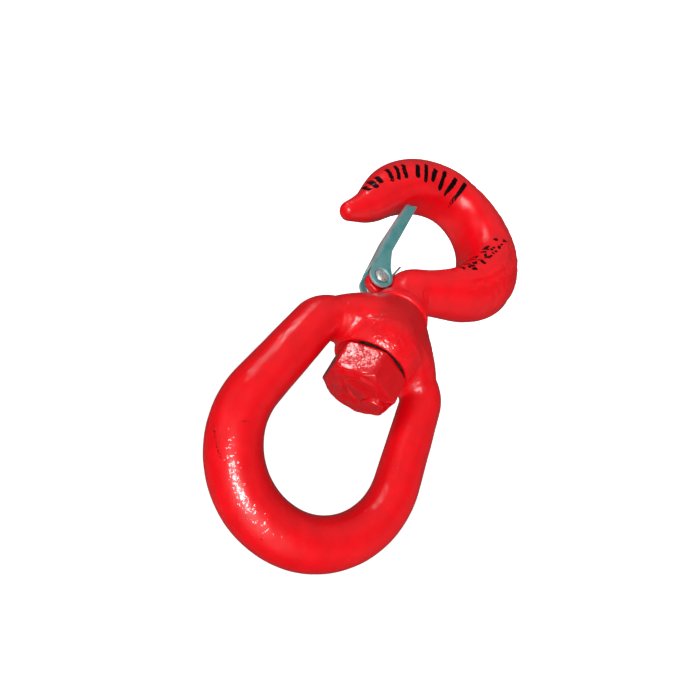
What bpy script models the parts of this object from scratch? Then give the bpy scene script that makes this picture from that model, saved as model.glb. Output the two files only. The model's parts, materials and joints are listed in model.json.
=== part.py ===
"""Swivel hook: forged eye, hook on a shank held by a hexagon nut, and a sprung safety latch.

Frame: +Z runs up the load line and the origin is the inside crest of the eye, where the
shackle or ring above bears. The eye lies in the XZ plane. The hook hangs below it and
turns about Z, with its tip and its latch towards +X. Lengths are in metres.
"""
import math

import bmesh
import bpy
import numpy as np
from mathutils import Vector

MM = 0.001
GAP = 0.3 * MM

# Eye: one round bar bent into a pear, with a bell-shaped hub across its narrow end.
# Heights in this file are above the hub datum, which is the mid-height of the bell.
BAR_RADIUS = 10.0 * MM
BOW_RADIUS = 35.0 * MM
BOW_HEIGHT = 55.6 * MM
SHOULDER_RADIUS = 11.0 * MM
SHOULDER_X = 19.7 * MM
SHOULDER_HEIGHT = 16.2 * MM
SHOULDER_END = -66.0  # degrees, where the bend runs out into the tapered crossbar
CROSSBAR = (
    # x, height, radius of the bar, all in mm
    (20.6, 3.2, 11.2),
    (16.0, 0.0, 12.8),
    (11.5, -2.6, 13.9),
    (0.0, -3.2, 13.2),
)
HUB_DEPTH = BOW_HEIGHT + BOW_RADIUS - BAR_RADIUS

HUB_END_RADIUS = 15.6 * MM
HUB_END = -16.8 * MM
HUB_RIM_RADIUS = 20.7 * MM
HUB_RIM = 5.2 * MM
SPOT_FACE_RADIUS = 17.0 * MM
SPOT_FACE = 14.1 * MM

# Shank, nut and the weld bead that locks them
SHANK_RADIUS = 9.5 * MM
BORE_RADIUS = SHANK_RADIUS + 0.5 * MM
NUT_ACROSS_FLATS = 30.0 * MM
NUT_FACE = SPOT_FACE + 0.6 * MM
NUT_HEIGHT = 15.9 * MM
NUT_END = NUT_FACE + NUT_HEIGHT
NUT_TURN = math.radians(2.0)
WELD_RADIUS = 11.6 * MM
WELD_INNER_RADIUS = 7.4 * MM
WELD_HEIGHT = 1.4 * MM
TACK_RADIUS = 5.2 * MM
TACK_HEIGHT = 2.2 * MM
TACK_X = -8.2 * MM
TACK_Y = -2.4 * MM

# Hook: stations of its centre line in its own plane, tip towards +X
SWIVEL_ANGLE = math.radians(6.0)
COLLAR_TOP = HUB_END - 0.5 * MM
COLLAR_RADIUS = 15.7 * MM
COLLAR_LOWER_RADIUS = 14.2 * MM
COLLAR_HEIGHT = 5.5 * MM
SECTION_RATIO = 1.04
HOOK_STATIONS = (
    # x, height, radius of the bar, all in mm
    (0.0, -21.0, 12.4),
    (0.1, -27.5, 11.9),
    (0.8, -33.8, 11.8),
    (-5.1, -41.3, 11.6),
    (-35.3, -78.6, 18.3),
    (-35.4, -85.2, 18.2),
    (-20.9, -112.4, 16.0),
    (5.0, -120.1, 14.7),
    (39.2, -83.6, 12.1),
    (42.0, -68.1, 8.5),
    (48.1, -55.1, 4.8),
)
HOOK_RINGS = 46
HOOK_SIDES = 20

# Latch, its lug on the hook, its rivet and its spring
PIVOT_X = 17.5 * MM
PIVOT_HEIGHT = -27.6 * MM
LUG_RADIUS = 5.2 * MM
LUG_HALF_WIDTH = 2.0 * MM
EAR_RADIUS = 6.0 * MM
EAR_HALF_WIDTH = 6.5 * MM
SHEET = 1.5 * MM
LATCH_BACK = (
    # x, height of the web's outer face about the pivot, in mm, from the ears to the free end
    (7.1, -7.2),
    (8.7, -27.0),
    (8.8, -54.9),
)
LATCH_FRONT = (
    # x, height of the flanges' open edge, in mm, from the free end to the ears
    (3.1, -57.2),
    (1.8, -17.3),
    (-1.6, -8.4),
    (-3.9, -4.9),
)
RIVET_RADIUS = 2.4 * MM
RIVET_HEAD_RADIUS = 3.1 * MM
RIVET_HOLE_RADIUS = RIVET_RADIUS + GAP
COUNTERSINK_RADIUS = 4.1 * MM
COUNTERSINK_DEPTH = 1.0 * MM
WIRE_RADIUS = 0.5 * MM
COIL_RADIUS = 3.6 * MM
COIL_PITCH = 1.1 * MM
SPRING_SIDES = 6


def clear_scene():
    for obj in list(bpy.data.objects):
        bpy.data.objects.remove(obj, do_unlink=True)


def frame_empty(name, parent, location, turn=0.0):
    """Empty that a group of pieces hangs from."""
    empty = bpy.data.objects.new(name, None)
    bpy.context.scene.collection.objects.link(empty)
    empty.parent = parent
    empty.location = location
    empty.rotation_euler = (0.0, 0.0, turn)
    return empty


def finish_material(name, colour, roughness, metallic):
    material = bpy.data.materials.new(name)
    material.use_nodes = True
    shader = material.node_tree.nodes["Principled BSDF"]
    shader.inputs["Base Color"].default_value = (*colour, 1.0)
    shader.inputs["Roughness"].default_value = roughness
    shader.inputs["Metallic"].default_value = metallic
    return material


def place(name, bm, parent, material=None):
    """Turn a bmesh into an object. Without a material it is a tool for a Boolean."""
    bmesh.ops.recalc_face_normals(bm, faces=bm.faces)
    mesh = bpy.data.meshes.new(name)
    bm.to_mesh(mesh)
    bm.free()
    mesh.shade_smooth()
    mesh.set_sharp_from_angle(angle=math.radians(35.0))
    obj = bpy.data.objects.new(name, mesh)
    bpy.context.scene.collection.objects.link(obj)
    obj.parent = parent
    if material is None:
        obj.hide_render = True
        obj.display_type = "WIRE"
    else:
        mesh.materials.append(material)
    return obj


def combine(target, tool, operation):
    boolean = target.modifiers.new(tool.name, "BOOLEAN")
    boolean.operation = operation
    boolean.object = tool
    boolean.solver = "EXACT"


def skin(bm, rings, closed):
    """Join rings of vertices into a tube, closed on itself or capped at its ends."""
    pairs = list(zip(rings, rings[1:]))
    if closed:
        pairs.append((rings[-1], rings[0]))
    for near, far in pairs:
        for i in range(len(near)):
            j = (i + 1) % len(near)
            bm.faces.new((near[i], near[j], far[j], far[i]))
    if not closed:
        bm.faces.new(rings[0])
        bm.faces.new(rings[-1])


def bar(stations, sides, closed=False, ratio=1.0):
    """Bar of oval section along stations (x, height, radius) in the XZ plane."""
    bm = bmesh.new()
    rings = []
    count = len(stations)
    for i, (x, z, radius) in enumerate(stations):
        before = stations[(i - 1) % count if closed else max(i - 1, 0)]
        after = stations[(i + 1) % count if closed else min(i + 1, count - 1)]
        along = Vector((after[0] - before[0], 0.0, after[1] - before[1])).normalized()
        side = Vector((along.z, 0.0, -along.x))
        ring = []
        for k in range(sides):
            angle = 2.0 * math.pi * (k + 0.5) / sides
            offset = side * (radius * math.cos(angle))
            offset.y = ratio * radius * math.sin(angle)
            ring.append(bm.verts.new(Vector((x, 0.0, z)) + offset))
        rings.append(ring)
    skin(bm, rings, closed)
    return bm


def turned(profile, sides, closed=False):
    """Solid of revolution about Z from (radius, height) points, or a ring if closed."""
    bm = bmesh.new()
    rings = []
    for radius, z in profile:
        ring = []
        for k in range(sides):
            angle = 2.0 * math.pi * k / sides
            ring.append(bm.verts.new((radius * math.cos(angle), radius * math.sin(angle), z)))
        rings.append(ring)
    skin(bm, rings, closed)
    return bm


def plate(outline, half_width):
    """Flat plate, or block, of an outline in the XZ plane, across the Y axis."""
    bm = bmesh.new()
    rings = []
    for y in (-half_width, half_width):
        rings.append([bm.verts.new((x, y, z)) for x, z in outline])
    skin(bm, rings, False)
    return bm


def across(bm):
    """Lay a solid turned about Z down along the Y axis."""
    for vertex in bm.verts:
        x, y, z = vertex.co
        vertex.co = (x, -z, y)
    return bm


def arc(centre, radius, start, end, steps):
    """Points of an arc in the XZ plane, angles in degrees from +X towards +Z."""
    points = []
    for i in range(steps + 1):
        angle = math.radians(start + (end - start) * i / steps)
        points.append((centre[0] + radius * math.cos(angle), centre[1] + radius * math.sin(angle)))
    return points


def smooth_through(knots, count):
    """Rows along a natural cubic spline through the knots' rows, evenly spaced in chord."""
    knots = np.array(knots)
    gaps = np.hypot(*np.diff(knots[:, :2], axis=0).T)
    places = np.concatenate([[0.0], np.cumsum(gaps)])
    system = np.eye(len(knots))
    right = np.zeros_like(knots)
    slopes = np.diff(knots, axis=0) / gaps[:, None]
    for i in range(1, len(knots) - 1):
        system[i, i - 1:i + 2] = gaps[i - 1], 2.0 * (gaps[i - 1] + gaps[i]), gaps[i]
        right[i] = 6.0 * (slopes[i] - slopes[i - 1])
    curvature = np.linalg.solve(system, right)
    rows = []
    for place_on in np.linspace(0.0, places[-1], count):
        i = min(int(np.searchsorted(places, place_on, side="right")) - 1, len(gaps) - 1)
        gap = gaps[i]
        t = (place_on - places[i]) / gap
        s = 1.0 - t
        row = s * knots[i] + t * knots[i + 1]
        row += gap * gap / 6.0 * ((s ** 3 - s) * curvature[i] + (t ** 3 - t) * curvature[i + 1])
        rows.append(row)
    return rows


def leg_angle():
    """Angle from +X, in degrees, of the normal that the bow and the shoulder bend share."""
    run = Vector((SHOULDER_X, SHOULDER_HEIGHT - BOW_HEIGHT))
    spread = math.acos((BOW_RADIUS - SHOULDER_RADIUS) / run.length)
    return math.degrees(math.atan2(run.y, run.x) + spread)


def eye_stations():
    """Stations once round the eye, from the top of the bow; the crossbar swells to the hub."""
    lean = leg_angle()
    right = arc((0.0, BOW_HEIGHT), BOW_RADIUS, 90.0, lean, 14)
    right += arc((SHOULDER_X, SHOULDER_HEIGHT), SHOULDER_RADIUS, lean, SHOULDER_END, 5)
    right = [(x, z, BAR_RADIUS) for x, z in right]
    right += [(x * MM, z * MM, radius * MM) for x, z, radius in CROSSBAR]
    left = [(-x, z, radius) for x, z, radius in reversed(right[1:-1])]
    return right + left


def hub_profile():
    """Bell from the flat lower end, out to the rim and round under it to the spot face."""
    height = HUB_RIM - HUB_END
    flare = [(0.0, HUB_END), (HUB_END_RADIUS - 0.8 * MM, HUB_END)]
    for i in range(8):
        up = i / 7.0
        swell = math.sin(0.5 * math.pi * up) ** 0.85
        radius = HUB_END_RADIUS + (HUB_RIM_RADIUS - HUB_END_RADIUS) * swell
        flare.append((radius, HUB_END + 0.7 * MM + (height - 0.7 * MM) * up))
    under_width = HUB_RIM_RADIUS - SPOT_FACE_RADIUS
    under_height = SPOT_FACE - HUB_RIM
    for i in range(1, 6):
        angle = 0.5 * math.pi * i / 5.0
        radius = SPOT_FACE_RADIUS + under_width * math.cos(angle) ** 0.8
        flare.append((radius, HUB_RIM + under_height * math.sin(angle)))
    flare.append((0.0, SPOT_FACE))
    return flare


def solid_profile(profile):
    """Keep a turned profile's end points just off the axis, so that its caps are polygons."""
    return [(max(radius, 0.5 * MM), z) for radius, z in profile]


def make_eye(hub_frame):
    forging = finish_material("eye_red_paint", (0.83, 0.01, 0.02), 0.3, 0.0)
    eye = place("eye_bail", bar(eye_stations(), 20, closed=True), hub_frame, forging)
    hub = place("hub_bell", turned(solid_profile(hub_profile()), 40), hub_frame)
    bore_profile = [(BORE_RADIUS, HUB_END - 5.0 * MM), (BORE_RADIUS, SPOT_FACE + 5.0 * MM)]
    bore = place("hub_bore", turned(bore_profile, 32), hub_frame)
    combine(eye, hub, "UNION")
    combine(eye, bore, "DIFFERENCE")


def hook_stations():
    rows = smooth_through(HOOK_STATIONS, HOOK_RINGS)
    stations = [(x * MM, z * MM, radius * MM) for x, z, radius in rows]
    before = Vector(stations[-2][:2])
    end = Vector(stations[-1][:2])
    ahead = (end - before).normalized()
    tip_radius = stations[-1][2]
    for angle in (25.0, 50.0, 70.0, 84.0):
        turn = math.radians(angle)
        centre = end + ahead * (tip_radius * math.sin(turn))
        stations.append((centre.x, centre.y, tip_radius * math.cos(turn)))
    return stations


def shank_profile():
    """Lower end inside the neck, collar, and the shank up to the end of the nut."""
    collar_low = COLLAR_TOP - COLLAR_HEIGHT
    return [
        (0.0, collar_low - 8.0 * MM),
        (11.0 * MM, collar_low - 8.0 * MM),
        (11.6 * MM, collar_low - 0.8 * MM),
        (COLLAR_LOWER_RADIUS, collar_low),
        (COLLAR_RADIUS, COLLAR_TOP - 0.9 * MM),
        (COLLAR_RADIUS - 0.7 * MM, COLLAR_TOP),
        (SHANK_RADIUS, COLLAR_TOP),
        (SHANK_RADIUS, NUT_END - 1.2 * MM),
        (SHANK_RADIUS - 1.0 * MM, NUT_END),
        (0.0, NUT_END),
    ]


def lug_outline():
    """Round end about the latch pivot, with its root buried in the neck."""
    centre = (PIVOT_X, PIVOT_HEIGHT)
    root_x = 3.0 * MM
    outline = arc(centre, LUG_RADIUS, 78.0, -110.0, 12)
    outline.append((root_x, PIVOT_HEIGHT - 12.0 * MM))
    outline.append((root_x, COLLAR_TOP - COLLAR_HEIGHT + 1.0 * MM))
    outline.append((COLLAR_LOWER_RADIUS - 1.0 * MM, COLLAR_TOP - COLLAR_HEIGHT + 1.0 * MM))
    return outline


def make_hook(swivel_frame, latch_frame):
    forging = finish_material("hook_red_paint", (0.83, 0.01, 0.02), 0.28, 0.0)
    body = bar(hook_stations(), HOOK_SIDES, ratio=SECTION_RATIO)
    hook = place("hook_forging", body, swivel_frame, forging)
    shank = place("hook_shank", turned(solid_profile(shank_profile()), 32), swivel_frame)
    lug = place("hook_lug", plate(lug_outline(), LUG_HALF_WIDTH), swivel_frame)
    hole_profile = [(RIVET_HOLE_RADIUS, -20.0 * MM), (RIVET_HOLE_RADIUS, 20.0 * MM)]
    hole = place("lug_hole", across(turned(hole_profile, 20)), latch_frame)
    combine(hook, shank, "UNION")
    combine(hook, lug, "UNION")
    combine(hook, hole, "DIFFERENCE")


def make_nut(swivel_frame):
    """Hexagon from a prism cut to a chamfered round, with a plain bore for the thread."""
    painted = finish_material("nut_red_paint", (0.83, 0.01, 0.02), 0.25, 0.0)
    corner = NUT_ACROSS_FLATS / math.sqrt(3.0)
    rounded = corner - 0.4 * MM
    prism = turned([(corner, NUT_FACE), (corner, NUT_END)], 6)
    nut = place("hex_nut", prism, swivel_frame, painted)
    nut.rotation_euler.z = NUT_TURN + math.radians(30.0)
    round_profile = [
        (corner - 2.8 * MM, NUT_FACE - 1.0 * MM),
        (rounded, NUT_FACE + 0.6 * MM),
        (rounded, NUT_END - 0.9 * MM),
        (corner - 2.3 * MM, NUT_END + 1.0 * MM),
    ]
    chamfer = place("nut_chamfer", turned(round_profile, 48), swivel_frame)
    bore_radius = SHANK_RADIUS + GAP
    bore_profile = [(bore_radius, NUT_FACE - 5.0 * MM), (bore_radius, NUT_END + 5.0 * MM)]
    bore = place("nut_bore", turned(bore_profile, 32), swivel_frame)
    combine(nut, chamfer, "INTERSECT")
    combine(nut, bore, "DIFFERENCE")


def make_weld(swivel_frame):
    """Bead over the joint of shank and nut with one larger tack, so that neither turns."""
    painted = finish_material("weld_red_paint", (0.75, 0.01, 0.02), 0.35, 0.0)
    foot = NUT_END + GAP
    bead = [
        (WELD_INNER_RADIUS, foot),
        (WELD_RADIUS, foot),
        (WELD_RADIUS - 0.8 * MM, foot + 0.7 * WELD_HEIGHT),
        (0.5 * (WELD_RADIUS + WELD_INNER_RADIUS), foot + WELD_HEIGHT),
        (WELD_INNER_RADIUS + 0.8 * MM, foot + 0.7 * WELD_HEIGHT),
    ]
    weld = place("nut_lock_weld", turned(bead, 32, closed=True), swivel_frame, painted)
    dome = [
        (TACK_RADIUS, foot),
        (TACK_RADIUS, foot + 0.35 * TACK_HEIGHT),
        (0.8 * TACK_RADIUS, foot + 0.75 * TACK_HEIGHT),
        (0.45 * TACK_RADIUS, foot + TACK_HEIGHT),
    ]
    tack = place("weld_tack", turned(dome, 24), swivel_frame)
    tack.location = (TACK_X, TACK_Y, 0.0)
    combine(weld, tack, "UNION")


def latch_outline():
    """Side view of the latch about its pivot: an ear and a long, slightly bent flange."""
    outline = arc((0.0, 0.0), EAR_RADIUS, -8.0, 212.0, 18)
    outline += [(x * MM, z * MM) for x, z in reversed(LATCH_FRONT)]
    outline += [(x * MM, z * MM) for x, z in reversed(LATCH_BACK)]
    return outline


def channel_outline():
    """What is taken out between the flanges: all but the web, which stops short of the ears."""
    far = 15.0 * MM
    inner = [(x * MM - SHEET, z * MM) for x, z in LATCH_BACK]
    end_x, end_z = inner[-1]
    outline = [(-far, far), (far, far), (far, inner[0][1])]
    outline += inner[:-1]
    outline += [(end_x, end_z - 5.0 * MM), (-far, end_z - 5.0 * MM)]
    return outline


def ear_hole_profile():
    """Through hole for the rivet, countersunk from both outer faces."""
    depth = COUNTERSINK_DEPTH
    outside = EAR_HALF_WIDTH + 2.0 * MM
    slope = (COUNTERSINK_RADIUS - RIVET_HOLE_RADIUS) / depth
    wide = COUNTERSINK_RADIUS + 2.0 * MM * slope
    return [
        (wide, -outside),
        (RIVET_HOLE_RADIUS, depth - EAR_HALF_WIDTH),
        (RIVET_HOLE_RADIUS, EAR_HALF_WIDTH - depth),
        (wide, outside),
    ]


def make_latch(latch_frame):
    zinc = finish_material("latch_zinc", (0.28, 0.42, 0.43), 0.35, 0.9)
    latch = place("safety_latch", plate(latch_outline(), EAR_HALF_WIDTH), latch_frame, zinc)
    inside = EAR_HALF_WIDTH - SHEET
    channel = place("latch_channel", plate(channel_outline(), inside), latch_frame)
    hole = place("ear_holes", across(turned(ear_hole_profile(), 24)), latch_frame)
    combine(latch, channel, "DIFFERENCE")
    combine(latch, hole, "DIFFERENCE")


def make_rivet(latch_frame):
    steel = finish_material("rivet_steel", (0.6, 0.6, 0.58), 0.35, 1.0)
    half = [
        (1.2 * MM, EAR_HALF_WIDTH + 0.75 * MM),
        (2.3 * MM, EAR_HALF_WIDTH + 0.35 * MM),
        (RIVET_HEAD_RADIUS, EAR_HALF_WIDTH - 0.15 * MM),
        (RIVET_HEAD_RADIUS, EAR_HALF_WIDTH - 0.4 * MM),
        (RIVET_RADIUS, EAR_HALF_WIDTH - COUNTERSINK_DEPTH),
    ]
    profile = [(radius, -y) for radius, y in half]
    profile += [(radius, y) for radius, y in reversed(half)]
    place("latch_rivet", across(turned(profile, 20)), latch_frame, steel)


def spring_half():
    """One half of the wire, from the leg on the neck to the middle of the bight on the web."""
    leave_neck = 164.0
    reach_latch = 0.0 - 360.0
    inner_y = LUG_HALF_WIDTH + GAP + WIRE_RADIUS
    outer_y = inner_y + COIL_PITCH * (leave_neck - reach_latch) / 360.0
    points = [Vector((-5.9 * MM, outer_y, -14.2 * MM)), Vector((-4.7 * MM, outer_y, -6.5 * MM))]
    steps = 24
    for i in range(steps + 1):
        share = i / steps
        angle = math.radians(leave_neck + (reach_latch - leave_neck) * share)
        y = outer_y + (inner_y - outer_y) * share
        points.append(Vector((COIL_RADIUS * math.cos(angle), y, COIL_RADIUS * math.sin(angle))))
    points.append(Vector((3.9 * MM, inner_y, -8.0 * MM)))
    points.append(Vector((4.5 * MM, inner_y, -20.0 * MM)))
    points.append(Vector((4.6 * MM, inner_y * 0.85, -21.6 * MM)))
    points.append(Vector((4.65 * MM, inner_y * 0.45, -22.4 * MM)))
    return points


def make_spring(latch_frame):
    """Double torsion spring: a coil each side of the lug, one wire from leg to leg."""
    wire = finish_material("spring_wire", (0.35, 0.36, 0.37), 0.3, 1.0)
    half = spring_half()
    path = half + [Vector((p.x, -p.y, p.z)) for p in reversed(half)]
    bm = bmesh.new()
    rings = []
    side = Vector((0.0, 1.0, 0.0))
    for i, point in enumerate(path):
        before = path[max(i - 1, 0)]
        after = path[min(i + 1, len(path) - 1)]
        along = (after - before).normalized()
        side = (side - along * side.dot(along)).normalized()
        across_side = along.cross(side)
        ring = []
        for k in range(SPRING_SIDES):
            angle = 2.0 * math.pi * k / SPRING_SIDES
            offset = side * math.cos(angle) + across_side * math.sin(angle)
            ring.append(bm.verts.new(point + offset * WIRE_RADIUS))
        rings.append(ring)
    skin(bm, rings, False)
    place("latch_spring", bm, latch_frame, wire)


def main():
    clear_scene()
    hub_frame = frame_empty("hub_frame", None, (0.0, 0.0, -HUB_DEPTH))
    swivel_frame = frame_empty("swivel_frame", hub_frame, (0.0, 0.0, 0.0), SWIVEL_ANGLE)
    latch_frame = frame_empty("latch_frame", swivel_frame, (PIVOT_X, 0.0, PIVOT_HEIGHT))
    make_eye(hub_frame)
    make_hook(swivel_frame, latch_frame)
    make_nut(swivel_frame)
    make_weld(swivel_frame)
    make_latch(latch_frame)
    make_rivet(latch_frame)
    make_spring(latch_frame)


main()
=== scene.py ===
"""Looks of the swivel hook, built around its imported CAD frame.

The forgings, the latch and the weld are worked as distance fields: a piece starts as an even
mesh over its CAD solid, its vertices settle onto the zero of its field, and forging ripples
are added along the normals. Fields work in millimetres in the hub's frame, whose origin is
the hub datum on the swivel axis. The hook frame is the same, turned by the swivel angle.
"""

import json
import math

import bmesh
import bpy
import numpy as np
from mathutils import Matrix, Vector, noise
from mathutils.bvhtree import BVHTree


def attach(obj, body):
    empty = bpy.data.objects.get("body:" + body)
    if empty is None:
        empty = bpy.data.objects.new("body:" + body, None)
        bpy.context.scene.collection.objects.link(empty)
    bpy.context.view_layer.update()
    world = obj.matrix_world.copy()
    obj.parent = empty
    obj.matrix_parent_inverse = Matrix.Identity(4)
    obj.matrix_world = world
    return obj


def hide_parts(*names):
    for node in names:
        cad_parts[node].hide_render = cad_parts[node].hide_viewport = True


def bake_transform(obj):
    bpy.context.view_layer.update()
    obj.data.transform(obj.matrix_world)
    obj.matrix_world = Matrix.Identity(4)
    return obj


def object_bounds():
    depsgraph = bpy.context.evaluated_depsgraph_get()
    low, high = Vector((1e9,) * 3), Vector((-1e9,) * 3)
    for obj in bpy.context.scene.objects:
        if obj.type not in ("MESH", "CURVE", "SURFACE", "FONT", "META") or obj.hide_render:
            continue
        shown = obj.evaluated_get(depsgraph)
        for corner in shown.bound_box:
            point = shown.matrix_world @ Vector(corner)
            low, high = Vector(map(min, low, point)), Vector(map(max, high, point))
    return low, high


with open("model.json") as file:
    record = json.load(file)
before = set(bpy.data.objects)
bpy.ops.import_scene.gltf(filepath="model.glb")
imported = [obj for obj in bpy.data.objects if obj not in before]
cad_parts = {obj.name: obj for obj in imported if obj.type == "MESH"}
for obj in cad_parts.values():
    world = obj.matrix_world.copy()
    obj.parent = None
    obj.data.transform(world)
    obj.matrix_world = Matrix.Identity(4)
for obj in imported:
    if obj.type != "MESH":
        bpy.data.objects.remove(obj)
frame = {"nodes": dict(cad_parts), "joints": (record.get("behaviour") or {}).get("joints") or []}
cad_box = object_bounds()

MM = 0.001
SETTLE_ROUNDS = 6
SETTLE_SPREAD = 0.5
JOINTS = {joint["name"]: joint for joint in frame["joints"]}
HUB = np.array(JOINTS["swivel"]["pos_m"])
SWING = JOINTS["latch_pivot"]["axis"]
SWIVEL_ANGLE = math.atan2(-SWING[0], SWING[1])

# Eye, in mm: the bar is drawn slightly thin, and lumps are sunk, to stay inside the CAD box
BAR_RADIUS = 9.82
BOW_RADIUS = 35.0
BOW_HEIGHT = 55.6
SHOULDER = (19.7, 16.2)
SHOULDER_RADIUS = 11.0
SHOULDER_END = -66.0
CROSSBAR = (
    # x, z, radius
    (20.6, 3.2, 11.2),
    (16.0, 0.0, 12.8),
    (11.5, -2.6, 13.9),
    (0.0, -3.2, 13.2),
)
HUB_END = -16.8
HUB_END_RADIUS = 15.6
HUB_RIM = 4.7
HUB_RIM_RADIUS = 20.6
HUB_BULGE = 0.55
SEAT_CREST = 14.4
HUB_BAND = (
    # radius, z
    (20.0, 6.8),
    (19.5, 9.0),
    (18.9, 11.0),
    (18.2, 12.6),
    (17.5, 13.8),
    (16.8, SEAT_CREST),
)
RIM_FILLET = 1.6
CROSSBAR_FILLET = 4.0
RIDGE_RADIUS = 1.2
RIDGE_INSET = 0.3
RIDGE_FILLET = 0.7
RIDGE_ON_LEG = ((27.5, -7.6, 9.5), (24.5, -7.9, 7.6), (21.0, -8.9, 6.1))
SEAT_RADIUS = 16.5
SEAT_FLOOR = 13.9
SEAT_SHIFT = (0.1, 0.3, 0.0)
SEAT_EDGE = 0.6
BORE_RADIUS = 10.0
BORE_EDGE = 0.8
CUT_REACH = 40.0
BORE_TOP = 15.1
EYE_LUMPS = (
    # size, height, seed, share of the height that the whole is sunk by
    (16.0, 0.10, 3.1, 0.6),
    (5.0, 0.05, 8.7, 0.5),
)
EYE_CHIPS = (
    (32.9, -9.9, 68.7),
    (31.6, -9.9, 67.8),
    (30.4, -9.9, 75.9),
    (7.0, -7.8, 96.0),
    (11.6, -17.0, 3.2),
    (-22.0, -9.9, 82.7),
    (-36.8, -9.8, 57.0),
    (-40.0, 5.0, 72.0),
    (30.0, 8.0, 80.0),
)
CHIP_WEAR = 0.78
BOW_SCRAPE = np.array(((39.4, -5.1, 73.8), (31.9, -7.6, 81.8)))

# Hook, in mm, in the hook frame
SHANK_RADIUS = 9.5
COLLAR_TOP = -17.3
COLLAR_LOW = -22.8
COLLAR_RADIUS = 15.6
COLLAR_LOWER_RADIUS = 14.2
COLLAR_FILLET = 1.0
SECTION_RATIO = 1.035
INNER_SQUARE = 0.6
INNER_NARROWING = 0.14
HOOK_ROWS = 150
HOOK_STATIONS = (
    # x, z, radius
    (0.0, -21.0, 12.4),
    (0.1, -27.5, 11.9),
    (0.8, -33.8, 11.8),
    (-5.1, -41.3, 11.6),
    (-35.3, -78.6, 18.2),
    (-35.4, -85.2, 18.1),
    (-20.9, -112.4, 15.9),
    (5.0, -120.1, 14.5),
    (39.2, -83.6, 12.0),
    (42.0, -68.1, 8.4),
    (48.1, -55.1, 4.7),
)
PIVOT = (17.5, -27.6)
PIVOT_POINT = np.array((PIVOT[0], 0.0, PIVOT[1]))
LUG_RADIUS = 5.2
LUG_HALF_WIDTH = 2.0
LUG_EDGE = 0.9
LUG_FILLET = 2.0
NECK_CREASE = np.array(((-9.5, -10.5, -23.5), (-7.0, -10.2, -27.5), (-4.5, -11.0, -31.0)))
CREASE_DEPTH = 0.9
CREASE_WIDTH = 1.3
ROUGH_HEIGHT = 0.45
ROUGH_SINK = 0.42
HOOK_LUMPS = (
    # size, height, seed, share sunk
    (18.0, 0.13, 5.3, 0.6),
    (5.0, 0.05, 1.9, 0.5),
)
HOOK_CHIPS = ((44.0, -9.0, -75.0), (-50.0, -12.0, -90.0), (-44.0, -12.0, -98.0))

# Marker strokes, in mm, in the hook frame: (x, z) places on its near side, and shares along them
MARK_GUIDE = np.array((
    (47.8, -68.5),
    (45.0, -77.0),
    (40.5, -86.5),
    (34.5, -95.5),
    (26.0, -103.5),
    (16.0, -109.5),
    (3.0, -113.0),
))
BAR_SHARES = (0.02, 0.09, 0.16, 0.27, 0.35, 0.43, 0.56, 0.64, 0.72, 0.81, 0.89, 0.97)
DAB_COUNT = 34
DAB_START = (-17.5, -61.0)
DAB_RUN = (-11.0, -33.0)
DAB_SPREAD = (3.2, 3.0)
STROKE_STEP = 0.35
STROKE_RAY_START = -60.0
STROKE_TAPER = 1.6
STROKE_SECTION = (
    # share of the half width, height over the paint
    (-1.0, -0.02),
    (-0.8, 0.03),
    (0.8, 0.03),
    (1.0, -0.02),
    (0.7, -0.12),
    (-0.7, -0.12),
)

# Nut and weld
NUT_FLATS = 30.0
NUT_FACE = 14.7
NUT_END = 30.6
NUT_TURN = math.radians(2.0)
NUT_EDGE_RADIUS = 12.9
NUT_EDGE_SLOPE = 1.35
NUT_EDGE_WAVE = 1.1
NUT_FACE_RADIUS = 15.9
NUT_FACE_SLOPE = 1.8
NUT_FACE_FLAT = 13.4
NUT_LEAST_RADIUS = 11.5
NUT_SOFTNESS = 0.25
NUT_RIM_LUMPS = ((3.0, 0.16, 2.2, 0.4),)
NUT_SIDE_LUMPS = ((4.0, 0.07, 9.2, 0.5),)
NUT_END_LUMPS = ((3.5, 0.25, 6.1, 0.6),)
WELD_RADIUS = 12.0
WELD_FOOT = NUT_END - 0.9
TACK = (-8.2, -2.4)
TACK_PROFILE = (
    # radius, height over the nut
    (5.0, -1.4),
    (5.2, -0.4),
    (5.35, 0.6),
    (5.25, 1.4),
    (4.9, 1.95),
    (4.4, 2.15),
    (3.8, 2.0),
    (2.6, 1.8),
    (1.2, 1.75),
    (0.1, 1.75),
)

# Latch, rivet and spring, in mm about the pivot; flat shapes are (x, z)
EAR_RADIUS = 6.0
EAR_HALF_WIDTH = 6.5
SHEET = 1.5
LATCH_BACK = ((7.1, -7.2), (8.7, -27.0), (8.8, -54.9))
LATCH_FRONT = ((3.1, -57.2), (1.8, -17.3), (-1.6, -8.4), (-3.9, -4.9))
PIN_HOLE = 2.7
DISH_RADIUS = 4.1
DISH_DEPTH = 1.0
WIRE_RADIUS = 0.5
COIL_RADIUS = 3.6
COIL_PITCH = 1.1
COIL_ANGLES = (164.0, -360.0)
SPRING_TAIL = ((-5.9, -14.2), (-5.4, -11.0), (-4.9, -7.5), (-4.4, -4.6))
SPRING_LEG = ((3.7, -3.0), (3.9, -8.0), (4.2, -14.0), (4.5, -20.0))
SPRING_BIGHT = (
    # x, share of the coil's offset from the middle, z
    (4.6, 0.85, -21.4),
    (4.63, 0.55, -22.1),
    (4.65, 0.2, -22.4),
)
RIVET_SHANK = 2.4
RIVET_HEAD = (
    # radius, height over the ear
    (0.3, 0.75),
    (1.0, 0.72),
    (1.8, 0.6),
    (2.5, 0.32),
    (3.0, -0.1),
    (3.2, -0.5),
    (3.0, -0.8),
    (2.5, -0.95),
)

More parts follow.
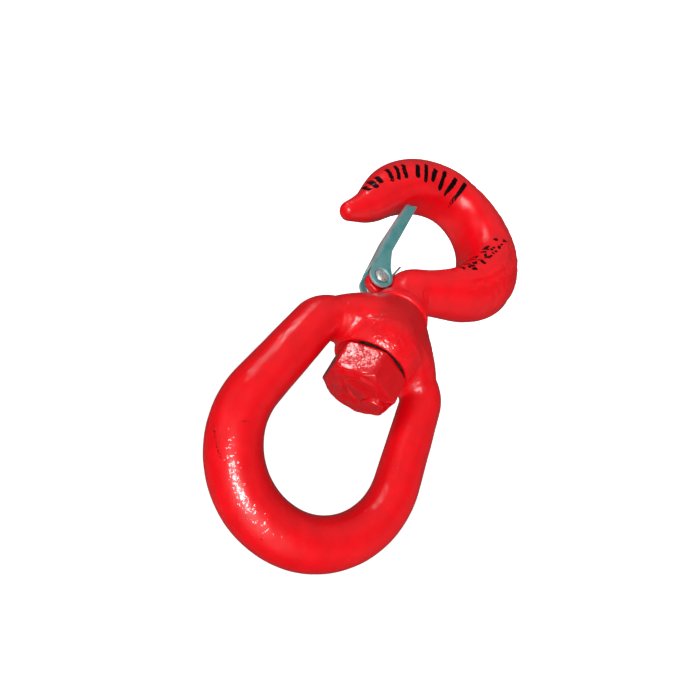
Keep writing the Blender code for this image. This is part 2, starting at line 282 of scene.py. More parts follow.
# Colours
EYE_RED = (0.80, 0.001, 0.006)
# The hook's red is the eye's paint made lighter, as painted light.
HOOK_LIT_RED = (0.90, 0.001, 0.007)
# The nut's and weld's red is the same paint made darker, as painted shade.
NUT_SHADED_RED = (0.64, 0.0005, 0.005)
CHIP_DARK = (0.04, 0.004, 0.006)
RUST_DARK = (0.035, 0.012, 0.01)
RUST_PALE = (0.09, 0.045, 0.04)
ZINC_DEEP = (0.08, 0.34, 0.34)
ZINC_PALE = (0.17, 0.42, 0.43)
ZINC_BLUSH = (0.28, 0.38, 0.42)
# Pale grey laid over the latch's web, bends and cut edges as painted highlight and reflection.
ZINC_PAINTED_SHEEN = (0.62, 0.66, 0.66)
RIVET_GREY = (0.72, 0.72, 0.7)
SPRING_GREY = (0.42, 0.43, 0.44)
INK_BLACK = (0.0015, 0.0015, 0.002)
INK_THIN = (0.008, 0.002, 0.003)
FLOOR_PALE = ((0.94, 0.94, 0.94), (0.96, 0.96, 0.96))

# Camera, in metres, and its lens and sensor in mm
CAMERA_RIGHT = (-0.7475657, -0.5318200, -0.3978856)
CAMERA_DOWN = (-0.5934168, 0.2657240, 0.7597679)
CAMERA_PLACE = (0.04731, -0.13683, 0.02711)
CAMERA_LENS = 20.10
CAMERA_SENSOR = 36.0
CAMERA_SHIFT = (-0.0293, 0.0455)

# Studio, in metres and watts: a backdrop that is white to the camera and dim to the hook
BACKDROP = 1.1
SURROUND = 0.05
NUT_AIM = (0.012, -0.01, -0.062)
BOW_AIM = (0.03, -0.01, 0.0)
MIDDLE = (0.0, 0.0, -0.10)
LIGHTS = (
    # name, aim, direction, distance, side, power, lights surfaces, shows in gloss
    ("key", NUT_AIM, (0.735, -0.375, -0.565), 0.55, 0.06, 0.25, True, True),
    ("front", BOW_AIM, (0.19, -0.89, 0.40), 0.50, 0.12, 1.1, True, True),
    ("glint", BOW_AIM, (0.19, -0.89, 0.40), 0.50, 0.17, 2.0, False, True),
    ("fill_main", MIDDLE, (0.05, -0.62, 0.78), 0.9, 0.6, 5.0, True, False),
    ("fill_right", MIDDLE, (0.95, -0.3, 0.1), 0.9, 0.5, 3.0, True, False),
    ("fill_left", MIDDLE, (-0.95, -0.2, 0.0), 0.9, 1.2, 5.0, True, False),
    ("fill_low", MIDDLE, (0.1, -0.55, -0.83), 0.9, 1.2, 5.2, True, False),
    ("fill_back", MIDDLE, (0.1, 0.9, 0.3), 0.9, 1.2, 6.5, True, False),
)
FLOOR_DROP = 0.6
FLOOR_HALF = 3.0


# Frames


def to_local(points, angle):
    """Row frame in metres to the hub's frame in mm, turned back by angle."""
    c, s = math.cos(angle), math.sin(angle)
    return ((points - HUB) / MM) @ np.array(((c, -s, 0.0), (s, c, 0.0), (0.0, 0.0, 1.0)))


def to_row(points, angle):
    """The hub's frame in mm, turned by angle, to the row frame in metres."""
    c, s = math.cos(angle), math.sin(angle)
    return points @ np.array(((c, s, 0.0), (-s, c, 0.0), (0.0, 0.0, 1.0))) * MM + HUB


def rise(values, start, width):
    """0 up to start, then rising to 1 over the width."""
    return np.clip((values - start) / width, 0.0, 1.0)


def fall(values, end, width):
    """1, falling over the width to 0 at the end."""
    return np.clip((end - values) / width, 0.0, 1.0)


def bell(away, width):
    """1 at 0, falling off smoothly over about the width."""
    return np.exp(-(away / width) ** 2)


def in_parts(count):
    """Indices in runs of a few thousand, so that tables of distances stay small."""
    return np.array_split(np.arange(count), count // 4000 + 1)


# Distance fields: each takes points and gives distances, negative inside, and unit directions


def sweep(points, path, ratio=1.0, square=None):
    """Bar along path rows (x, z, radius) in the XZ plane.

    The section is an oval. Where square, one number a row, is above 0, the side on the
    path's left is flattened between two rounded corners.
    """
    start, run = path[:-1], np.diff(path, axis=0)
    length = (run[:, :2] ** 2).sum(1)
    square = np.zeros(len(path)) if square is None else square
    distance = np.empty(len(points))
    normal = np.empty_like(points)
    for part in in_parts(len(points)):
        x, y, z = points[part].T
        dx = x[:, None] - start[:, 0]
        dz = z[:, None] - start[:, 1]
        t = np.clip((dx * run[:, 0] + dz * run[:, 1]) / length, 0.0, 1.0)
        dx -= t * run[:, 0]
        dz -= t * run[:, 1]
        flat = np.abs(y[:, None]) / ratio
        inner = (run[:, 0] * dz - run[:, 1] * dx > 0.0) * square[:-1]
        plan = np.maximum(np.hypot(dx, dz), 1e-6) * (1.0 + INNER_NARROWING * inner)
        power = 2.0 + inner
        off = (plan ** power + flat ** power) ** (1.0 / power)
        signed = off - start[:, 2] - t * run[:, 2]
        nearest = signed.argmin(1)
        row = np.arange(len(part))
        distance[part] = signed[row, nearest]
        plan, power = plan[row, nearest], power[row, nearest]
        pull = plan ** (power - 2.0)
        side = np.sign(y) * flat[:, 0] ** (power - 1.0) / ratio
        away = np.stack((dx[row, nearest] * pull, side, dz[row, nearest] * pull), axis=1)
        normal[part] = away / np.maximum(np.linalg.norm(away, axis=1), 1e-9)[:, None]
    return distance, normal


def outline_field(u, v, outline):
    """Distance and direction, in the plane, to a closed outline."""
    a = np.array(outline)
    run = np.roll(a, -1, axis=0) - a
    du = u[:, None] - a[:, 0]
    dv = v[:, None] - a[:, 1]
    t = np.clip((du * run[:, 0] + dv * run[:, 1]) / (run ** 2).sum(1), 0.0, 1.0)
    crosses = ((dv < 0.0) != (dv < run[:, 1])) & (du < dv * run[:, 0] / (run[:, 1] + 1e-12))
    inside = crosses.sum(1) % 2 == 1
    du -= t * run[:, 0]
    dv -= t * run[:, 1]
    off = np.hypot(du, dv)
    nearest = off.argmin(1)
    row = np.arange(len(u))
    size = off[row, nearest]
    sign = np.where(inside, -1.0, 1.0)
    safe = np.maximum(size, 1e-6) * sign
    return size * sign, du[row, nearest] / safe, dv[row, nearest] / safe


def turned(points, outline):
    """Solid of revolution about Z of an outline of (radius, z)."""
    radius = np.maximum(np.hypot(points[:, 0], points[:, 1]), 1e-6)
    distance, across, up = outline_field(radius, points[:, 2], outline)
    round_ = points[:, :2] / radius[:, None] * across[:, None]
    return distance, np.column_stack((round_, up))


def cylinder_y(points, centre, radius):
    """Endless cylinder along Y."""
    away = points[:, (0, 2)] - centre
    size = np.maximum(np.hypot(*away.T), 1e-6)
    away = away / size[:, None]
    return size - radius, np.column_stack((away[:, 0], np.zeros(len(points)), away[:, 1]))


def tube(points, path, radius):
    """Round bar along a path in space."""
    distance = np.full(len(points), 1e9)
    normal = np.zeros_like(points)
    for start, end in zip(path[:-1], path[1:]):
        run = end - start
        share = np.clip((points - start).dot(run) / run.dot(run), 0.0, 1.0)
        away = points - start - share[:, None] * run
        size = np.maximum(np.linalg.norm(away, axis=1), 1e-6)
        closer = size - radius < distance
        distance[closer] = size[closer] - radius
        normal[closer] = (away / size[:, None])[closer]
    return distance, normal


def slab(points, outline, half_width, softness):
    """Plate of an outline of (x, z), across Y, with its edges softened."""
    distance, across, up = outline_field(points[:, 0], points[:, 2], outline)
    plan = distance, np.column_stack((across, np.zeros(len(points)), up))
    side = np.zeros_like(points)
    side[:, 1] = np.sign(points[:, 1])
    return trim(plan, (np.abs(points[:, 1]) - half_width, side), softness)


def join(a, b, softness):
    """Union of two fields, filleted over about the softness."""
    share = np.clip(0.5 + 0.5 * (b[0] - a[0]) / softness, 0.0, 1.0)
    distance = b[0] + (a[0] - b[0]) * share - softness * share * (1.0 - share)
    normal = b[1] + (a[1] - b[1]) * share[:, None]
    return distance, normal / np.maximum(np.linalg.norm(normal, axis=1), 1e-6)[:, None]


def inverse(a):
    """Inside out."""
    return -a[0], -a[1]


def trim(a, b, softness):
    """What two fields share."""
    return inverse(join(inverse(a), inverse(b), softness))


def cut(a, b, softness):
    """The first field less the second."""
    return trim(a, inverse(b), softness)


# Meshes


def remeshed(node, name, voxel):
    """Even quads, about voxel mm across, over a CAD node."""
    copy = bpy.data.objects.new(node + "_copy", frame["nodes"][node].data.copy())
    bpy.context.scene.collection.objects.link(copy)
    modifier = copy.modifiers.new("even", "REMESH")
    modifier.mode = "VOXEL"
    modifier.voxel_size = voxel * MM
    modifier.adaptivity = 0.0
    graph = bpy.context.evaluated_depsgraph_get()
    mesh = bpy.data.meshes.new_from_object(copy.evaluated_get(graph))
    bpy.data.objects.remove(copy)
    mesh.name = name
    return mesh


def vertices(mesh):
    """Places of a mesh's vertices, one row each."""
    points = np.empty(len(mesh.vertices) * 3, np.float32)
    mesh.vertices.foreach_get("co", points)
    return points.reshape(-1, 3).astype(float)


def settle(mesh, field, angle):
    """Bring vertices onto the field's zero, evenly spread; local points and normals back."""
    points = to_local(vertices(mesh), angle)
    edges = np.empty(len(mesh.edges) * 2, np.int64)
    mesh.edges.foreach_get("vertices", edges)
    near, far = edges.reshape(-1, 2).T
    valence = np.maximum(np.bincount(edges, minlength=len(points)), 1)
    for i in range(SETTLE_ROUNDS):
        distance, normal = field(points)
        points = points - normal * np.clip(distance, -1.0, 1.0)[:, None]
        if i < SETTLE_ROUNDS - 2:
            mean = np.empty_like(points)
            for k in range(3):
                total = np.bincount(near, points[far, k], len(points))
                total += np.bincount(far, points[near, k], len(points))
                mean[:, k] = total / valence
            drift = mean - points
            drift -= normal * (drift * normal).sum(1)[:, None]
            points = points + SETTLE_SPREAD * drift
    return points, field(points)[1]


def ripple(points, size, seed, stretch=(1.0, 1.0, 1.0)):
    """Smooth noise, about -1 to 1, whose lumps are about size mm across."""
    places = points / (size * np.array(stretch)) + seed
    return np.array([noise.noise(Vector(place)) for place in places])


def lumps(points, layers):
    """Forging lumps from rows of size, height, seed and the share that the whole is sunk by."""
    return sum(height * (ripple(points, size, seed) - sunk) for size, height, seed, sunk in layers)


def spots(points, places, strength, spread):
    """Soft round marks at places; the spread is in square mm."""
    return sum(strength * np.exp(-((points - place) ** 2).sum(1) / spread) for place in places)


def give_points(mesh, points, angle):
    """Move a mesh's vertices to local points."""
    mesh.vertices.foreach_set("co", to_row(points, angle).astype(np.float32).ravel())
    mesh.update()
    mesh.shade_smooth()


def grid_mesh(name, rings, angle=0.0, closed=False):
    """Skin over rings of points with equal counts, capped at both ends unless closed."""
    rings = np.array(rings)
    count, sides = rings.shape[:2]
    index = np.arange(count * sides).reshape(count, sides)
    faces = []
    last = count if closed else count - 1
    for i in range(last):
        near, far = index[i], index[(i + 1) % count]
        beside = np.roll(near, -1), np.roll(far, -1)
        faces += np.column_stack((near, beside[0], beside[1], far)).tolist()
    if not closed:
        faces += [index[0][::-1].tolist(), index[-1].tolist()]
    mesh = bpy.data.meshes.new(name)
    mesh.from_pydata(to_row(rings.reshape(-1, 3), angle).tolist(), [], faces)
    mesh.validate()
    mesh.shade_smooth()
    return mesh


def mark(mesh, name, values):
    """Store one number a vertex, for the material to read."""
    attribute = mesh.attributes.new(name, "FLOAT", "POINT")
    attribute.data.foreach_set("value", np.clip(values, 0.0, 1.0).astype(np.float32))


def piece(mesh, body, slot, material, *nodes):
    """Show a mesh as a piece of a body, in place of the CAD nodes that it stands for."""
    obj = bpy.data.objects.new(mesh.name, mesh)
    bpy.context.scene.collection.objects.link(obj)
    mesh.materials.clear()
    mesh.materials.append(material)
    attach(obj, body)
    if nodes:
        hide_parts(*nodes)
    return obj


# Materials


class Nodes:
    """Small helper for wiring a Principled material."""

    def __init__(self, name):
        self.material = bpy.data.materials.new(name)
        self.material.use_nodes = True
        self.tree = self.material.node_tree
        self.shader = self.tree.nodes["Principled BSDF"]
        self.place = self.add("ShaderNodeTexCoord").outputs["Object"]

    def add(self, kind, **settings):
        node = self.tree.nodes.new(kind)
        for key, value in settings.items():
            setattr(node, key, value)
        return node

    def link(self, source, target):
        self.tree.links.new(source, target)

    def noise(self, size, detail=2.0, stretch=(1.0, 1.0, 1.0), roughness=0.5):
        """Noise with lumps about size mm across."""
        mapping = self.add("ShaderNodeMapping")
        mapping.inputs["Scale"].default_value = [1.0 / s for s in stretch]
        self.link(self.place, mapping.inputs["Vector"])
        node = self.add("ShaderNodeTexNoise")
        node.inputs["Scale"].default_value = 1.0 / (size * MM)
        node.inputs["Detail"].default_value = detail
        node.inputs["Roughness"].default_value = roughness
        self.link(mapping.outputs["Vector"], node.inputs["Vector"])
        return node.outputs["Fac"]

    def attribute(self, name):
        return self.add("ShaderNodeAttribute", attribute_name=name).outputs["Fac"]

    def remap(self, value, low, high, out_low=0.0, out_high=1.0):
        """Stretch low..high to out_low..out_high, and hold it there."""
        node = self.add("ShaderNodeMapRange")
        numbers = {"From Min": low, "From Max": high, "To Min": out_low, "To Max": out_high}
        for key, number in numbers.items():
            node.inputs[key].default_value = number
        self.link(value, node.inputs["Value"])
        return node.outputs["Result"]

    def plus(self, a, b):
        return self.combine("ADD", a, b)

    def times(self, a, b):
        return self.combine("MULTIPLY", a, b)

    def combine(self, operation, a, b):
        node = self.add("ShaderNodeMath", operation=operation)
        for i, value in enumerate((a, b)):
            if isinstance(value, float):
                node.inputs[i].default_value = value
            else:
                self.link(value, node.inputs[i])
        return node.outputs["Value"]

    def mix(self, share, a, b):
        """Colour a, going over to b as the share rises to 1."""
        node = self.add("ShaderNodeMix", data_type="RGBA")
        self.link(share, node.inputs[0])
        for i, value in ((6, a), (7, b)):
            if isinstance(value, tuple):
                node.inputs[i].default_value = (*value, 1.0)
            else:
                self.link(value, node.inputs[i])
        return node.outputs[2]

    def set(self, **values):
        """Set or link the shader's sockets by name."""
        for key, value in values.items():
            socket = self.shader.inputs[key.replace("_", " ")]
            if isinstance(value, (float, tuple)):
                socket.default_value = (*value, 1.0) if isinstance(value, tuple) else value
            else:
                self.link(value, socket)

    def bump(self, *layers, socket="Normal"):
        """Stack bumps of (height, depth in mm)."""
        normal = None
        for height, depth in layers:
            node = self.add("ShaderNodeBump")
            node.inputs["Distance"].default_value = depth * MM
            self.link(height, node.inputs["Height"])
            if normal is not None:
                self.link(normal, node.inputs["Normal"])
            normal = node.outputs["Normal"]
        self.link(normal, self.shader.inputs[socket])


def dimmed(colour, share):
    return tuple(channel * share for channel in colour)


def paint(name, colour, marks=(), peel=1.8, depth=0.42, sheen=0.35):
    """Thick glossy paint, clouded, whose clear coat has orange peel about peel mm across.

    Marks name the mesh's numbers that it answers to: flank darkens it as painted shade and brushes it
    with grain, wear chips it, and bare leaves rusty steel.
    """
    n = Nodes(name)
    shade = n.mix(n.remap(n.noise(9.0, 3.0), 0.35, 0.7), colour, dimmed(colour, 0.86))
    roughness = n.remap(n.noise(4.0, 2.0), 0.3, 0.7, 0.32, 0.42)
    swell = (n.noise(5.0, 1.0), 0.15)
    layers = [swell]
    if "flank_shade_and_grain" in marks:
        flank_shade_and_grain = n.attribute("flank_shade_and_grain")
        # Painted shade: the hub's flare is darkened where the flank mark is.
        shade = n.mix(n.times(flank_shade_and_grain, 0.45), shade, dimmed(colour, 0.4))
        brushed = n.noise(0.6, 2.0, stretch=(1.0, 1.0, 16.0))
        layers.append((n.times(brushed, flank_shade_and_grain), 0.05))
    if "wear" in marks:
        speck = n.noise(0.5, 2.0, roughness=0.6)
        chip = n.remap(n.plus(n.times(n.attribute("wear"), 0.55), speck), 0.93, 0.96)
        shade = n.mix(chip, shade, CHIP_DARK)
        layers.append((n.times(chip, -1.0), 0.05))
    if "bare" in marks:
        bare = n.attribute("bare")
        rust = n.mix(n.remap(n.noise(1.6, 3.0), 0.4, 0.65), RUST_DARK, RUST_PALE)
        shade = n.mix(bare, shade, rust)
        roughness = n.plus(roughness, n.times(bare, 0.25))
        n.set(Metallic=n.times(bare, 0.4))
    n.set(Base_Color=shade, Roughness=roughness, IOR=1.45, Specular_IOR_Level=sheen)
    n.set(Coat_Weight=0.9, Coat_Roughness=0.07, Coat_IOR=1.5)
    n.bump(*layers)
    pores = (n.noise(peel * 0.4, 1.0), depth * 0.2)
    n.bump(swell, (n.noise(peel, 1.5), depth), pores, socket="Coat Normal")
    return n.material


def zinc():
    """Blue-green zinc plate, clouded, with rolling scratches along the latch."""
    n = Nodes("latch_zinc_plate")
    cloud = n.remap(n.noise(7.0, 3.0), 0.35, 0.65)
    tint = n.mix(cloud, ZINC_DEEP, ZINC_PALE)
    blush = n.remap(n.noise(4.0, 2.0), 0.55, 0.75, 0.0, 0.5)
    tint = n.mix(blush, tint, ZINC_BLUSH)
    # Painted highlight and reflection: paler grey where the latch's surface turns away from the ears'
    # flat sides.
    tint = n.mix(n.times(n.attribute("edge"), 0.8), tint, ZINC_PAINTED_SHEEN)
    scratch = n.noise(0.5, 3.0, stretch=(1.0, 1.0, 18.0))
    n.set(Base_Color=tint, Metallic=0.45)
    n.set(Roughness=n.remap(scratch, 0.3, 0.7, 0.28, 0.5))
    n.bump((scratch, 0.006), (n.noise(2.5, 2.0), 0.03))
    return n.material


def steel(name, colour, size, low, high):
    """Bare or plated steel with marks about size mm across; low and high bound its roughness."""
    n = Nodes(name)
    marks = n.noise(size, 4.0, roughness=0.6)
    shade = n.mix(n.remap(marks, 0.35, 0.65), dimmed(colour, 0.55), colour)
    n.set(Base_Color=shade, Metallic=0.6)
    n.set(Roughness=n.remap(marks, 0.3, 0.7, low, high))
    n.bump((marks, 0.04))
    return n.material


def ink():
    """Black marker, a little red where it is thin."""
    n = Nodes("marker_ink")
    patch = n.noise(1.5, 3.0)
    n.set(Base_Color=n.mix(n.remap(patch, 0.35, 0.7), INK_BLACK, INK_THIN))
    n.set(Roughness=n.remap(patch, 0.3, 0.7, 0.4, 0.55), Specular_IOR_Level=0.1)
    n.bump((patch, 0.01))
    return n.material


# Outlines and paths


def arc(centre, radius, start, end, steps):
    """Points from one angle to another, in degrees."""
    angles = np.radians(np.linspace(start, end, steps + 1))
    return [(centre[0] + radius * math.cos(a), centre[1] + radius * math.sin(a)) for a in angles]


def smooth_through(knots, count):
    """Rows along a natural cubic spline through the knots' rows, evenly spaced in chord."""
    knots = np.array(knots, float)
    gaps = np.hypot(*np.diff(knots[:, :2], axis=0).T)
    places = np.concatenate([[0.0], np.cumsum(gaps)])
    system = np.eye(len(knots))
    right = np.zeros_like(knots)
    slopes = np.diff(knots, axis=0) / gaps[:, None]
    for i in range(1, len(knots) - 1):
        system[i, i - 1:i + 2] = gaps[i - 1], 2.0 * (gaps[i - 1] + gaps[i]), gaps[i]
        right[i] = 6.0 * (slopes[i] - slopes[i - 1])
    bend = np.linalg.solve(system, right)
    along = np.linspace(0.0, places[-1], count)
    i = np.clip(np.searchsorted(places, along, side="right") - 1, 0, len(gaps) - 1)
    gap = gaps[i][:, None]
    t = (along - places[i])[:, None] / gap
    s = 1.0 - t
    rows = s * knots[i] + t * knots[i + 1]
    return rows + gap * gap / 6.0 * ((s ** 3 - s) * bend[i] + (t ** 3 - t) * bend[i + 1])


def eye_path():
    """Rows (x, z, radius) once round the eye, from the top of the bow."""
    run = np.array(SHOULDER) - (0.0, BOW_HEIGHT)
    spread = math.acos((BOW_RADIUS - SHOULDER_RADIUS) / np.hypot(*run))
    lean = math.degrees(math.atan2(run[1], run[0]) + spread)
    right = arc((0.0, BOW_HEIGHT), BOW_RADIUS, 90.0, lean, 40)
    right += arc(SHOULDER, SHOULDER_RADIUS, lean, SHOULDER_END, 12)
    right = [(x, z, BAR_RADIUS) for x, z in right]
    crossbar = smooth_through([right[-1], *CROSSBAR], 12)
    right += [tuple(row) for row in crossbar[1:]]
    left = [(-x, z, radius) for x, z, radius in reversed(right[:-1])]
    return np.array(right + left)


def bell_outline():
    """Hub: a flare up to a crisp rim, then a rounded band round the nut's seat."""
    up = np.linspace(0.0, 1.0, 16)
    swell = (1.0 - HUB_BULGE) * up + HUB_BULGE * np.sin(0.5 * math.pi * up)
    radii = HUB_END_RADIUS + (HUB_RIM_RADIUS - HUB_END_RADIUS) * swell
    outline = [(0.0, HUB_END), (HUB_END_RADIUS - 0.6, HUB_END)]
    outline += list(zip(radii, HUB_END + 0.5 + (HUB_RIM - HUB_END - 0.5) * up))
    return [*outline, *HUB_BAND, (0.0, SEAT_CREST)]


def lug_outline():
    """Lug for the latch: round about the pivot, run out into the neck and collar."""
    outline = arc(PIVOT, LUG_RADIUS, 78.0, -110.0, 24)
    return outline + [(3.0, PIVOT[1] - 12.0), (3.0, COLLAR_LOW + 1.0), (13.2, COLLAR_LOW + 1.0)]


def collar_outline():
    """Shank, from the end of its thread, and the collar under the hub."""
    return [
        (0.0, COLLAR_LOW - 8.0),
        (11.0, COLLAR_LOW - 8.0),
        (11.6, COLLAR_LOW - 0.8),
        (COLLAR_LOWER_RADIUS, COLLAR_LOW),
        (COLLAR_RADIUS, COLLAR_TOP - 0.9),
        (COLLAR_RADIUS - 0.7, COLLAR_TOP),
        (SHANK_RADIUS, COLLAR_TOP),
        (SHANK_RADIUS, NUT_END - 1.2),
        (SHANK_RADIUS - 1.0, NUT_END),
        (0.0, NUT_END),
    ]


def ridge_path():
    """Centre of the ridge that runs from each leg round the front of the hub's rim."""
    angles = np.radians(np.linspace(-36.0, -90.0, 7))
    inset = HUB_RIM_RADIUS - RIDGE_RADIUS - RIDGE_INSET
    right = [*RIDGE_ON_LEG, *((inset * math.cos(a), inset * math.sin(a), HUB_RIM) for a in angles)]
    left = [(-x, y, z) for x, y, z in reversed(right[:-1])]
    return np.array(right + left)


EYE_PATH = eye_path()
RIDGE_PATH = ridge_path()
HOOK_PATH = smooth_through(HOOK_STATIONS, HOOK_ROWS)
ALONG_HOOK = np.linspace(0.0, 1.0, HOOK_ROWS)
HOOK_SQUARE = INNER_SQUARE * np.interp(ALONG_HOOK, (0.12, 0.25, 0.75, 0.88), (0.0, 1.0, 1.0, 0.0))


# Forgings


def plug(radius, low, high):
    """Outline of a round plug about Z."""
    return [(0.0, low), (radius, low), (radius, high), (0.0, high)]


def eye_field(points):
    """Ring of bar, hub and ridges, with the nut's seat and the bore cut in."""
    softness = RIM_FILLET + CROSSBAR_FILLET * fall(points[:, 2], 4.0, 4.0)
    body = join(sweep(points, EYE_PATH), turned(points, bell_outline()), softness)
    flip = np.where(points[:, 1:2] > 0.0, (1.0, -1.0, 1.0), (1.0, 1.0, 1.0))
    distance, normal = tube(points * flip, RIDGE_PATH, RIDGE_RADIUS)
    body = join(body, (distance, normal * flip), RIDGE_FILLET)
    seat = turned(points - SEAT_SHIFT, plug(SEAT_RADIUS, SEAT_FLOOR, CUT_REACH))
    bore = turned(points, plug(BORE_RADIUS, -CUT_REACH, CUT_REACH))
    return cut(cut(body, seat, SEAT_EDGE), bore, BORE_EDGE)


def eye_bare(points):
    """Where steel is bare: the floor of the nut's seat, except at its right, and the bore."""
    radius = np.hypot(points[:, 0], points[:, 1])
    from_seat = np.hypot(points[:, 0] - SEAT_SHIFT[0], points[:, 1] - SEAT_SHIFT[1])
    on_floor = fall(np.abs(points[:, 2] - SEAT_FLOOR), 0.4, 0.125) * (from_seat < SEAT_RADIUS - 0.1)
    in_bore = (radius < BORE_RADIUS + 0.3) & (points[:, 2] < BORE_TOP)
    return np.maximum(on_floor * fall(points[:, 0], 13.5, 1.5), in_bore)


def eye_flank(points):
    """The hub's flare, below its rim and between the legs, where the paint is darkened as painted
    shade and brushed with grain.
    """
    radius = np.hypot(points[:, 0], points[:, 1])
    flare = fall(points[:, 2], HUB_RIM - 2.0, 3.0) * fall(radius, 22.0, 3.0)
    return flare * fall(np.abs(points[:, 0]), 17.0, 5.0)


def eye_wear(points):
    """Where paint has chipped: small dots, and a scraped line on the outside of the bow."""
    scrape, _ = tube(points, BOW_SCRAPE, 0.0)
    return spots(points, EYE_CHIPS, CHIP_WEAR, 0.8) + CHIP_WEAR * bell(scrape, 1.0)


def make_eye():
    """Forged eye with its bell-shaped hub."""
    mesh = remeshed("eye_bail", "eye_forging", 0.55)
    points, normal = settle(mesh, eye_field, 0.0)
    bare = eye_bare(points)
    points += normal * (lumps(points, EYE_LUMPS) * (1.0 - bare))[:, None]
    give_points(mesh, points, 0.0)
    mark(mesh, "bare", bare)
    # Painted shade and brushed grain on the hub's flare.
    mark(mesh, "flank_shade_and_grain", eye_flank(points))
    mark(mesh, "wear", eye_wear(points))
    skin = paint("eye_paint", EYE_RED, marks=("flank_shade_and_grain", "wear", "bare"))
    piece(mesh, "eye", "eye_red_paint", skin, "eye_bail")


def hook_field(points):
    """Swept bar, collar and shank, and the lug with its pin hole."""
    bar = sweep(points, HOOK_PATH, SECTION_RATIO, HOOK_SQUARE)
    body = join(bar, turned(points, collar_outline()), COLLAR_FILLET)
    lug = slab(points, lug_outline(), LUG_HALF_WIDTH, LUG_EDGE)
    return cut(join(body, lug, LUG_FILLET), cylinder_y(points, PIVOT, PIN_HOLE), 0.3)


def outward(points):
    """How far each point lies outside the hook's centre line, in its plane."""
    run = np.gradient(HOOK_PATH[:, :2], axis=0)
    run /= np.linalg.norm(run, axis=1)[:, None]
    result = np.empty(len(points))
    for part in in_parts(len(points)):
        dx = points[part, 0:1] - HOOK_PATH[:, 0]
        dz = points[part, 2:3] - HOOK_PATH[:, 1]
        nearest = (dx * dx + dz * dz).argmin(1)
        row = np.arange(len(part))
        ahead = run[nearest]
        result[part] = ahead[:, 1] * dx[row, nearest] - ahead[:, 0] * dz[row, nearest]
    return result


def rough_back(points):
    """Share of roughness: the outside of the bend, on each side of its middle."""
    back = rise(outward(points), -0.5, 1.5) * fall(points[:, 0], 10.0, 8.0)
    return back * rise(np.abs(points[:, 1]), 2.0, 3.0) * fall(points[:, 2], -50.0, 10.0)


def make_hook():
    """Forged hook with its collar, shank and latch lug."""
    mesh = remeshed("hook_forging", "hook_body", 0.6)
    points, normal = settle(mesh, hook_field, SWIVEL_ANGLE)
    rough = ROUGH_HEIGHT * ripple(points, 3.2, 4.4, stretch=(1.0, 2.0, 1.0)) - ROUGH_SINK
    crease, _ = tube(points, NECK_CREASE, 0.0)
    height = lumps(points, HOOK_LUMPS) + rough_back(points) * rough
    height -= CREASE_DEPTH * bell(crease, CREASE_WIDTH)
    below = fall(points[:, 2], COLLAR_LOW - 2.0, 6.0)
    points += normal * (height * below)[:, None]
    give_points(mesh, points, SWIVEL_ANGLE)
    mark(mesh, "bare", (points[:, 2] > COLLAR_TOP + 0.2) & (points[:, 2] < NUT_FACE + 1.0))
    mark(mesh, "wear", spots(points, HOOK_CHIPS, 1.0, 4.0))
    # The hook gets the lighter red, as painted light.
    skin = paint("hook_paint", HOOK_LIT_RED, marks=("wear", "bare"))
    piece(mesh, "hook", "hook_red_paint", skin, "hook_forging")
    return mesh


# Marker strokes


def stroke_rings(tree, line, width):
    """Thin raised stroke along (x, z) points, laid on the near side of the hook."""
    line = np.array(line)
    steps = np.concatenate([[0.0], np.cumsum(np.hypot(*np.diff(line, axis=0).T))])
    along = np.linspace(0.0, steps[-1], max(int(steps[-1] / STROKE_STEP), 5))
    path = np.column_stack([np.interp(along, steps, line[:, k]) for k in range(2)])
    rings = []
    for i, (x, z) in enumerate(path):
        spot, normal, _, _ = tree.ray_cast(Vector((x, STROKE_RAY_START, z)), Vector((0.0, 1.0, 0.0)))
        if spot is None:
            continue
        ahead = Vector((*(path[min(i + 1, len(path) - 1)] - path[max(i - 1, 0)]), 0.0)).xzy
        side = normal.cross(ahead).normalized()
        steps_in = min(i, len(path) - 1 - i) + 0.35
        half = 0.5 * width * min(steps_in / STROKE_TAPER, 1.0) ** 0.5
        half *= 1.0 + 0.3 * noise.noise(Vector((x, z, width)) * 0.9)
        rings.append([spot + side * (share * half) + normal * lift for share, lift in STROKE_SECTION])
    return rings


def marker_bar(rng, share):
    """Slanted bar across the arm, at a share of the guide's rows."""
    place = share * (len(MARK_GUIDE) - 1)
    row = int(place)
    at = np.array([np.interp(place, range(len(MARK_GUIDE)), MARK_GUIDE[:, k]) for k in range(2)])
    ahead = MARK_GUIDE[min(row + 1, len(MARK_GUIDE) - 1)] - MARK_GUIDE[row]
    ahead = ahead / np.hypot(*ahead)
    across = np.array((-ahead[1], ahead[0]))
    reach = (across + 0.3 * ahead) * (3.0 + 3.0 * share) * rng.uniform(0.75, 1.2)
    bend = ahead * rng.uniform(-0.5, 0.5)
    return (at - reach, at + bend, at + reach), 2.5 + 0.6 * rng.uniform()


def marker_dab(rng):
    """Short stroke, any way round, in the rubbed patch on the back of the bend."""
    share = rng.uniform(0.0, 1.0)
    at = np.array(DAB_START) + share * np.array(DAB_RUN) + rng.uniform(-1.0, 1.0, 2) * DAB_SPREAD
    turn = rng.uniform(0.0, math.pi)
    reach = np.array((math.cos(turn), math.sin(turn))) * rng.uniform(0.6, 1.7)
    return (at - reach, at + reach), rng.uniform(1.0, 2.2)


def marker_lines():
    """Groups of plain slanted bars along the arm, and a rubbed patch: (points, width)."""
    rng = np.random.RandomState(11)
    bars = [marker_bar(rng, share) for share in BAR_SHARES]
    return bars + [marker_dab(rng) for _ in range(DAB_COUNT)]


def stroke_faces(base, count, sides):
    """Sides and two caps of a stroke of count rings, whose first corner is base."""
    faces = []
    for i in range(count - 1):
        near = base + i * sides
        for k in range(sides):
            a, b = near + k, near + (k + 1) % sides
            faces.append((a, b, b + sides, a + sides))
    last = base + (count - 1) * sides
    return faces + [tuple(range(base + sides - 1, base - 1, -1)), tuple(range(last, last + sides))]


